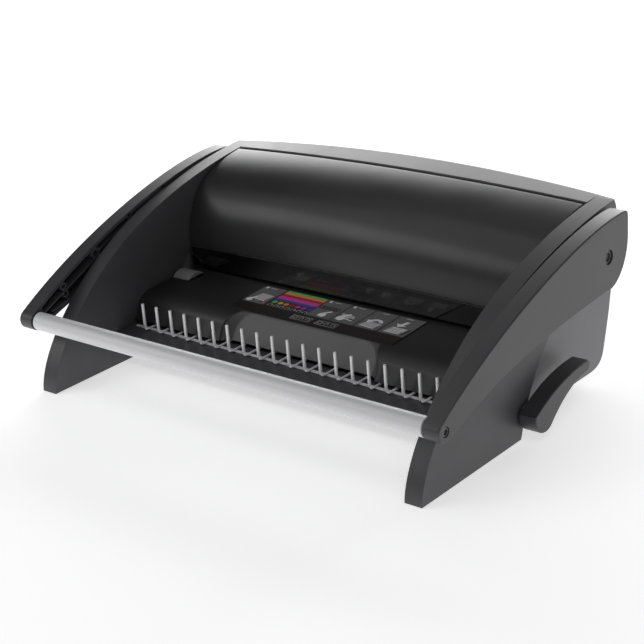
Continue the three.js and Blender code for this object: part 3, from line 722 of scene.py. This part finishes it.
def pictograms(art):
    for k, cell in enumerate(CELLS):
        art.rectangle("grey", cell, CELL_Y)
        if k in (0, 1, 2):
            art.rectangle("white", (cell[0] + 2, cell[0] + 4.2), (144.2, 147.2), 2)
        art.rectangle("light", (cell[0] + 6.6, cell[0] + 12.5), (145.5, 146.5), 2)
    sheets(art, -72, 127, 12, 8, 2.2)
    hand(art, -75, 121.5, 7.5)
    for k, name in enumerate(("pink", "green", "blue", "red", "orange")):
        art.disc(name, -65.3 + 1.9 * k, 122.6, 0.8, 2)
    for k in range(6):
        x = -12.6 + 2.9 * k
        art.ring("dark", x, 136, 2.3, 0.9, 2)
        art.rectangle("dark", (x - 1.4, x + 1.6), (133.2, 134.2), 3)
    hand(art, -7, 122.5, 9)
    sheets(art, 11, 127.5, 12, 5, -2.5)
    hand(art, 8.4, 123.6, 10)
    art.patch("dark", [(18, 126.8), (24, 126), (23.2, 127.6), (18.4, 128.4)], 4)
    sheets(art, 31, 124, 13, 6, 2.4)
    bent_arrow(art, 39.5, 130.2, 6)
    for k in range(5):
        art.rectangle("white", (53 + 0.5 * k, 66 + 0.5 * k), (122.2 + 1.9 * k, 123.3 + 1.9 * k), 2)
        art.rectangle("dark", (67.2 + 0.5 * k, 69.6 + 0.5 * k), (122.4 + 1.9 * k, 123.6 + 1.9 * k), 2)
    straight_arrow(art, 58.5, 133, 5.2)


def outlined_icons(art):
    for x0, x1 in ((-22.6, -4.6), (0.2, 18.6)):
        art.frame("light", (x0, x1), (109.8, 116.2), 0.35)
        art.frame("light", (x0 + 1.4, x0 + 5.4), (111.2, 114.8), 0.45, 2)
        art.ring("light", (x0 + x1) / 2, 113, 1.9, 0.5, 2)
        art.ring("light", x1 - 3.2, 113, 1.9, 0.5, 2)


def label():
    corner = 1.0
    outline = chained(*(
        arc((x, y), corner, start, start + 90, 6)
        for x, y, start in (
            (LABEL.x1 - corner, LABEL.y1 - corner, 0),
            (LABEL.x0 + corner, LABEL.y1 - corner, 90),
            (LABEL.x0 + corner, LABEL.y0 + corner, 180),
            (LABEL.x1 - corner, LABEL.y0 + corner, 270),
        )
    ))
    film = extruded("label_film", outline, *FILM_RISE, lambda x, y, t: at(x, y, deck_z(y) + t))
    fillet(film, 0.08, 2)
    finished(film, "housing", "printed_label", FILM, "instruction_label")
    art = Print()
    pictograms(art)
    colour_chart(art)
    outlined_icons(art)
    piece = piece_from("label_print", art.shape)
    for name, colour in INKS.items():
        piece.data.materials.append(ink(name, colour))
    finished(piece, "housing", "printed_label", None)


# ---- comb fingers and hooks ----
FINGER_R = 1.2
FINGER_STRIP = {"front": 1.4, "rear": 4.1, "height": 0.85}  # counted from the fingers' front and foot


def finger(x):
    """An upright round pin with a rounded tip."""
    foot, tip = FINGERS.z0 + 0.35, FINGERS.z1
    profile = [
        (0, foot),
        (FINGER_R - 0.3, foot),
        (FINGER_R, foot + 0.3),
        (FINGER_R, tip - 0.45),
        (FINGER_R - 0.15, tip - 0.12),
        (FINGER_R - 0.45, tip),
        (0, tip),
    ]
    return turned("finger", profile, (x, FINGERS.y0 + FINGER_R), along_z, 20)


def finger_plate():
    strip = block(
        (FINGERS.x0, FINGERS.x1),
        (FINGERS.y0 + FINGER_STRIP["front"], FINGERS.y0 + FINGER_STRIP["rear"]),
        (FINGERS.z0, FINGERS.z0 + FINGER_STRIP["height"]),
    )
    fillet(strip, 0.12, 2)
    strip.name = "finger_strip"
    finished(strip, "housing", "bright_steel", BRIGHT, "finger_plate")
    for k, x in enumerate(RING_X, 1):
        pin = smoothed(finger(x), 30)
        pin.name = f"comb_finger_{k:02d}"
        finished(pin, "housing", "bright_steel", BRIGHT)


HOOK_SHADE_Y = 83.5  # behind this depth the hooks and their bar are black as painted shade, so they read as the dark gap below the deck
AROUND_HOOKS = ((-160, 160), (60, 160))


def hook_plate():
    """The CAD hooks, planed underneath to clear the finger strip: bright steel in front, and black as
    painted shade behind.
    """
    piece = copy_of("hook_plate", "comb_hooks")
    underside = FINGERS.z0 + 1
    cut(piece, block(*AROUND_HOOKS, (underside - 3, underside)))
    fillet(piece, 0.15, 2)
    piece.modifiers.clear()
    shape = bmesh.new()
    shape.from_mesh(piece.data)
    everything = [*shape.verts, *shape.edges, *shape.faces]
    border = at(0, HOOK_SHADE_Y, 0)
    bmesh.ops.bisect_plane(shape, geom=everything, plane_co=border, plane_no=(0, 1, 0), dist=1e-7)
    # faces behind the border get the painted shade black
    for face in shape.faces:
        face.material_index = int(face.calc_center_median().y > border.y)
    shape.to_mesh(piece.data)
    shape.free()
    smoothed(piece)
    piece.data.materials.clear()
    for material in (BRIGHT, SHADE_BLACK):
        piece.data.materials.append(material)
    finished(piece, "hooks", "bright_steel", None, "hook_plate")


# ---- handle ----
GRIP_CENTRE = (GRIP.y, GRIP.z)
ARM_END_R = 7.2
LOW_LEAN, TOP_LEAN = -69.6, 122  # where the arm's edges leave its round end, in degrees
ARM_OUTLINE = chained(
    arc(GRIP_CENTRE, ARM_END_R, LOW_LEAN, TOP_LEAN - 360, 40),
    bezier(on_circle(GRIP_CENTRE, ARM_END_R, TOP_LEAN), (71, 101.2), (172, 129.9), (221, 128.4), 56),
    quadratic((221, 128.4), (224.8, 128.4), (225, 124.5), 8),
    bezier((225, 112), (225, 94), (213, 78.5), (200, 78.3), 20),
    bezier((200, 78.3), (95, 73.5), (55, 62.8), (9.5, 46.05), 40),
)
ARM_SKIN = 3
ARM_EDGE = 2.6
ARM_BOSSES = (
    Axis(34.6, 70.1, 3),
    Axis(35.9, 64.1, 3),
    Axis(70, 85, 4.4),
    Axis(108.3, 103.8, 3),
    Axis(146.7, 115.2, 3),
)
ARM_RIBS = (
    ((14, 56.8), (70, 81.6)),
    ((21, 55), (216, 96)),
    ((70, 85), (146.7, 115.2)),
    ((150, 72), (140, 122)),
)
PIVOT_HUB_R, GRIP_HUB_R = 12, 6
SPIGOT_R, SPIGOT_LENGTH = 4.8, 13  # the arm's round end that carries the tube
Bolt = namedtuple("Bolt", "head shank sunk well")
PIVOT_BOLT = Bolt(head=4.8, shank=3, sunk=3.6, well=4.2)
GRIP_BOLT = Bolt(head=3.1, shank=1.6, sunk=2.8, well=3.2)
BOLT_ROOM = 0.4
HEAD_HEIGHT = 2.4


def limb(start, end, half):
    """A bar between two places, with squared ends."""
    a, b = Vector(start), Vector(end)
    run = (b - a).normalized() * half
    side = Vector((-run.y, run.x))
    return [tuple(p) for p in (a + side, a - side, b - side + run, b + side + run)]


def arm_hollow(sign):
    """What is taken out of an arm: a pocket around its ribs and bosses, and a well in each boss."""
    x0, x1 = side_span(sign, ARM_IN - 1, ARM_OUT - ARM_SKIN)
    inset = [p for p in offset(ARM_OUTLINE, -ARM_EDGE) if p[0] > GRIP.y + 3]
    pocket = extruded("pocket", inset, x0, x1)
    hubs = [rod(PIVOT_HUB_R, x0 - 1, x1 + 1, PIVOT), rod(GRIP_HUB_R, x0 - 1, x1 + 1, GRIP)]
    bosses = [rod(boss.r, x0 - 1, x1 + 1, boss, 24) for boss in ARM_BOSSES]
    ribs = [extruded("rib", limb(a, b, 0.7), x0 - 1, x1 + 1) for a, b in ARM_RIBS]
    cut(pocket, *hubs, *bosses, *ribs)
    well_span = side_span(sign, ARM_IN - 1, ARM_OUT - ARM_SKIN - 2)
    return [pocket] + [rod(boss.r * 0.55, *well_span, boss, 20) for boss in ARM_BOSSES]


def arm_bores(sign):
    """Two stepped bores, for the pivot bolt and for the grip bolt."""
    starts = {PIVOT_BOLT: (PIVOT, ARM_IN - 1), GRIP_BOLT: (GRIP, ARM_IN - SPIGOT_LENGTH - 1)}
    for bolt, (centre, start) in starts.items():
        yield rod(bolt.shank + BOLT_ROOM, *side_span(sign, start, ARM_OUT), centre)
        yield rod(bolt.head + BOLT_ROOM, *side_span(sign, ARM_OUT - bolt.well, ARM_OUT + 1), centre)


def handle_arm(name, sign):
    arm = extruded(f"{name}_arm_moulding", ARM_OUTLINE, *side_span(sign, ARM_FACE, ARM_OUT))
    cut(arm, *arm_hollow(sign))
    combined(arm, "UNION", rod(SPIGOT_R, *side_span(sign, ARM_IN - SPIGOT_LENGTH, ARM_IN + 1), GRIP))
    cut(arm, *arm_bores(sign))

    def in_bore(spot):
        return min(math.dist(spot[1:], (hole.y, hole.z)) for hole in (PIVOT, GRIP)) < 6

    def outside(spot):
        return abs(spot[0]) > ARM_OUT - 0.2 and not in_bore(spot)

    def elsewhere(spot):
        return abs(abs(spot[0]) - ARM_FACE) < 0.2 or (abs(spot[0]) > ARM_OUT - 0.2 and in_bore(spot))

    fillet(arm, 1.0, 4, wanted=outside)
    arm.modifiers.clear()
    fillet(arm, 0.3, 2, 50, wanted=elsewhere)
    finished(arm, "handle", "charcoal_plastic", CHARCOAL, f"{name}_handle_arm")


def grip_tube():
    half = box("grip_tube").x1
    inner_r, chamfer = 5.2, 0.4
    wall = [
        (inner_r, -half),
        (GRIP.r - chamfer, -half),
        (GRIP.r, -half + chamfer),
        (GRIP.r, half - chamfer),
        (GRIP.r - chamfer, half),
        (inner_r, half),
    ]
    piece = welded(turned("grip_bar", [*wall, wall[0]], GRIP_CENTRE, along_x, 64))
    smoothed(piece, 30)
    finished(piece, "handle", "grip_metal", ALUMINIUM, "grip_tube")


def bolt(name, node, sign, size):
    """A domed cap screw with a hexagon socket."""
    centre = (axis(node).y, axis(node).z)
    top = ARM_OUT - size.sunk + HEAD_HEIGHT
    low = box(node).x0 if sign > 0 else -box(node).x1
    profile = [
        (0, low),
        (size.shank - 0.4, low),
        (size.shank, low + 0.4),
        (size.shank, top - HEAD_HEIGHT),
        (size.head, top - HEAD_HEIGHT),
        (size.head, top - 0.5),
        (size.head - 0.2, top - 0.15),
        (size.head - 0.6, top),
        (0, top),
    ]

    def outward(a, b, t):
        return at(sign * t, a, b)

    screw = turned(name, profile, centre, outward, 40)
    hexagon = arc(centre, size.head * 0.76, 15, 375, 6)[:-1]
    cut(screw, extruded("socket", hexagon, top - 1.3, top + 1, outward))
    smoothed(screw, 30)
    finished(screw, "handle", "screw_steel", BLACK_OXIDE, node)


def bolts(side, sign):
    bolt(f"{side}_pivot_bolt", f"{side}_pivot_screw", sign, PIVOT_BOLT)
    bolt(f"{side}_grip_bolt", f"{side}_grip_screw", sign, GRIP_BOLT)


# ---- comb lever ----
LEVER_HUB_R = 11.6
LEVER_LEAN = (-45.264, 165.585)  # where the lever's edges leave its round end, in degrees


def comb_lever():
    outline = chained(
        quadratic((105.9, 21.4), (136.1, 38.6), (171.6, 37.8)),
        quadratic((171.6, 37.8), (174.2, 37.4), (173.7, 34.8), 8),
        quadratic((173.7, 34.8), (173.4, 31.2), (170.4, 30.5), 8),
        quadratic((170.4, 30.5), (146.8, 29.3), (125.6, 10.3)),
        arc((LEVER.y, LEVER.z), LEVER_HUB_R, LEVER_LEAN[0], LEVER_LEAN[1] - 360, 32),
    )
    reach = box("comb_lever")
    lever = extruded("lever_moulding", outline, reach.x0, reach.x1)
    bore_depth = 8
    cut(lever, rod(LEVER.r + SHAFT_ROOM, reach.x0 - 1, reach.x0 + bore_depth, LEVER))
    fillet(lever, 0.9, 4, 40)
    finished(lever, "comb_lever", "charcoal_plastic", CHARCOAL, "comb_lever")


# ---- edge guide ----
def edge_guide():
    """A domed slider with a tongue that runs in the deck's slot."""
    reach = box("edge_guide")
    front, rear = ((y, deck_z(y) + 0.3) for y in (128.6, 146.4))
    dome = bezier(front, (131.5, 54.2), (140, 56.6), rear, 28)
    piece = extruded("guide_slider", dome, reach.x0, reach.x1)
    tongue_y = (GUIDE_SLOT_Y[0] + 0.6, GUIDE_SLOT_Y[1] - 0.6)
    combined(piece, "UNION", block((reach.x0 + 5, reach.x0 + 9), tongue_y, (44, 51)))
    fillet(piece, 0.7, 3, 50)
    finished(piece, "edge_guide", "grey_plastic", GREY, "edge_guide")


# ---- base tray: floor, rounded front wall and the ledge under the comb fingers ----
BASE_WALL, BASE_FLOOR = 2.4, 2.2
BASE_ROUND = 5  # radius at the foot of the front wall
LEDGE_ROUND = 0.8
LEDGE_Y = 94


def base_tray():
    tray = box("base_tray")
    floor_top = tray.z0 + BASE_FLOOR
    wall_y = tray.y0 + BASE_WALL
    ledge_z = tray.z1 - BASE_WALL
    outline = chained(
        [(LEDGE_Y, tray.z1)],
        arc((tray.y0 + LEDGE_ROUND, tray.z1 - LEDGE_ROUND), LEDGE_ROUND, 90, 180, 4),
        arc((tray.y0 + BASE_ROUND, tray.z0 + BASE_ROUND), BASE_ROUND, 180, 270, 12),
        [(tray.y1, tray.z0), (tray.y1, floor_top), (wall_y, floor_top)],
        [(wall_y, ledge_z), (LEDGE_Y, ledge_z)],
    )
    piece = extruded("base_moulding", outline, tray.x0, tray.x1)
    cheek_y = (tray.y0 + 2, LEVER.y + 7.5)
    cheek_z = (floor_top - 1, tray.z1 - 1.2)
    cheeks = [block(side_span(sign, tray.x1 - 2.2, tray.x1), cheek_y, cheek_z) for _, sign in SIDES]
    combined(piece, "UNION", *cheeks)
    cut(piece, rod(LEVER.r + 0.35, tray.x0 - 1, tray.x1 + 1, LEVER))
    fillet(piece, 0.3, 2, 50)
    finished(piece, "housing", "charcoal_plastic", CHARCOAL, "base_tray")


# ---- pieces that keep their CAD shape: some with rounded edges, the rest with new materials only ----
ROUNDED = {
    # the rear shell gets the lighter charcoal, which is painted light
    "rear_housing": ("rear_shell", "housing", "charcoal_plastic", REAR_CHARCOAL_PAINTED_LIT, 0.8),
    "chip_tray": ("chip_drawer", "chip_tray", "smoke_plastic", SMOKE, 0.5),
    "front_left_foot": ("front_left_pad", "housing", "foot_rubber", RUBBER, 0.6),
    "front_right_foot": ("front_right_pad", "housing", "foot_rubber", RUBBER, 0.6),
    "rear_left_foot": ("rear_left_pad", "housing", "foot_rubber", RUBBER, 1.0),
    "rear_right_foot": ("rear_right_pad", "housing", "foot_rubber", RUBBER, 1.0),
}
IN_PAIRS = ("chassis_plate", "handle_crank", "opener_crank")
KEPT = {
    GROUND: ["lower_die", "upper_die", *(f"punch_pin_{k:02d}" for k in range(1, 22))],
    DULL: ["paper_stop", "punch_bar", *(f"{side}_{part}" for part in IN_PAIRS for side, _ in SIDES)],
    BRIGHT: ["drive_shaft", "opener_shaft"],
    BRASS: ["left_shaft_bush", "right_shaft_bush"],
}


def cad_shapes():
    for node, (name, body, slot, material, width) in ROUNDED.items():
        finished(fillet(copy_of(node, name), width, 3, 40), body, slot, material, node)
    for material, nodes in KEPT.items():
        for node in nodes:
            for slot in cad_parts[node].material_slots:
                slot.material = material


# ---- floor, lights and camera ----
def floor():
    half = 6.0
    shape = bmesh.new()
    shape.faces.new([shape.verts.new((x, y, 0)) for x, y in rectangle((-half, half), (-half, half))])
    ground = piece_from("studio_floor", shape)
    graph = Graph("studio_floor")
    graph.link(graph.mix(graph.noise(3, 2), (0.86, 0.86, 0.86), (0.88, 0.88, 0.88)), "Base Color")
    graph.shader.inputs["Roughness"].default_value = 0.9
    graph.shader.inputs["Specular IOR Level"].default_value = 0.0
    graph.shader.inputs["Emission Color"].default_value = (1, 1, 1, 1)
    graph.shader.inputs["Emission Strength"].default_value = 0.56
    ground.data.materials.append(graph.material)


def softbox(name, place, aim, width, height, radiance):
    """A rectangular light at a place, facing another, with the same brightness all over."""
    data = bpy.data.lights.new(name, "AREA")
    data.shape = "RECTANGLE"
    data.size = width
    data.size_y = height
    data.energy = radiance * math.pi * width * height
    light = bpy.data.objects.new(name, data)
    bpy.context.scene.collection.objects.link(light)
    direction = Vector(aim) - Vector(place)
    light.matrix_world = Matrix.Translation(place) @ direction.to_track_quat("-Z", "Y").to_matrix().to_4x4()
    light.visible_camera = False
    return light


def lights():
    middle = (0, 0, 0.05)
    softbox("back_light", (-0.55, 1.42, 0.48), middle, 2.3, 0.8, 6.0)
    softbox("right_light", (1.6, 0.1, 0.15), middle, 1.6, 0.28, 2.2)
    softbox("front_light", (-0.85, -0.90, 0.62), middle, 0.9, 0.5, 1.9)
    softbox("high_front_light", (-0.60, -0.55, 1.20), middle, 0.9, 0.9, 0.75)
    softbox("key_light", (0.9, -0.6, 1.3), middle, 0.8, 0.8, 1.7)
    softbox("top_light", (-0.4, 0.3, 1.9), middle, 1.6, 1.6, 0.35)
    world = bpy.data.worlds.new("studio_air")
    world.use_nodes = True
    world.node_tree.nodes["Background"].inputs["Color"].default_value = (0.03, 0.03, 0.031, 1)
    bpy.context.scene.world = world


CAMERA_PLACE = (0.71386, -0.83106, 0.48135)
CAMERA_YAW, CAMERA_FALL, CAMERA_ROLL = -40.836, 21.713, -4.353
CAMERA_LENS = 91.893


def camera():
    data = bpy.data.cameras.new("camera")
    data.lens = CAMERA_LENS
    data.sensor_width = 36
    data.clip_end = 50
    yaw, fall, roll = (math.radians(a) for a in (CAMERA_YAW, CAMERA_FALL, CAMERA_ROLL))
    across = Vector((math.cos(yaw), -math.sin(yaw), 0))
    ahead = Vector((math.sin(yaw) * math.cos(fall), math.cos(yaw) * math.cos(fall), -math.sin(fall)))
    upright = across.cross(ahead)
    right = across * math.cos(roll) + upright * math.sin(roll)
    up = upright * math.cos(roll) - across * math.sin(roll)
    turn = Matrix((right, up, -ahead)).transposed().to_4x4()
    eye = bpy.data.objects.new("camera", data)
    eye.matrix_world = Matrix.Translation(CAMERA_PLACE) @ turn
    bpy.context.scene.collection.objects.link(eye)
    bpy.context.scene.camera = eye


for side, sign in SIDES:
    side_panel(side, sign)
    handle_arm(side, sign)
    bolts(side, sign)
bridge()
cover()
gloss_strip()
deck()
label()
finger_plate()
hook_plate()
grip_tube()
comb_lever()
edge_guide()
base_tray()
cad_shapes()
floor()
lights()
camera()
bpy.context.scene.view_settings.view_transform = "Standard"
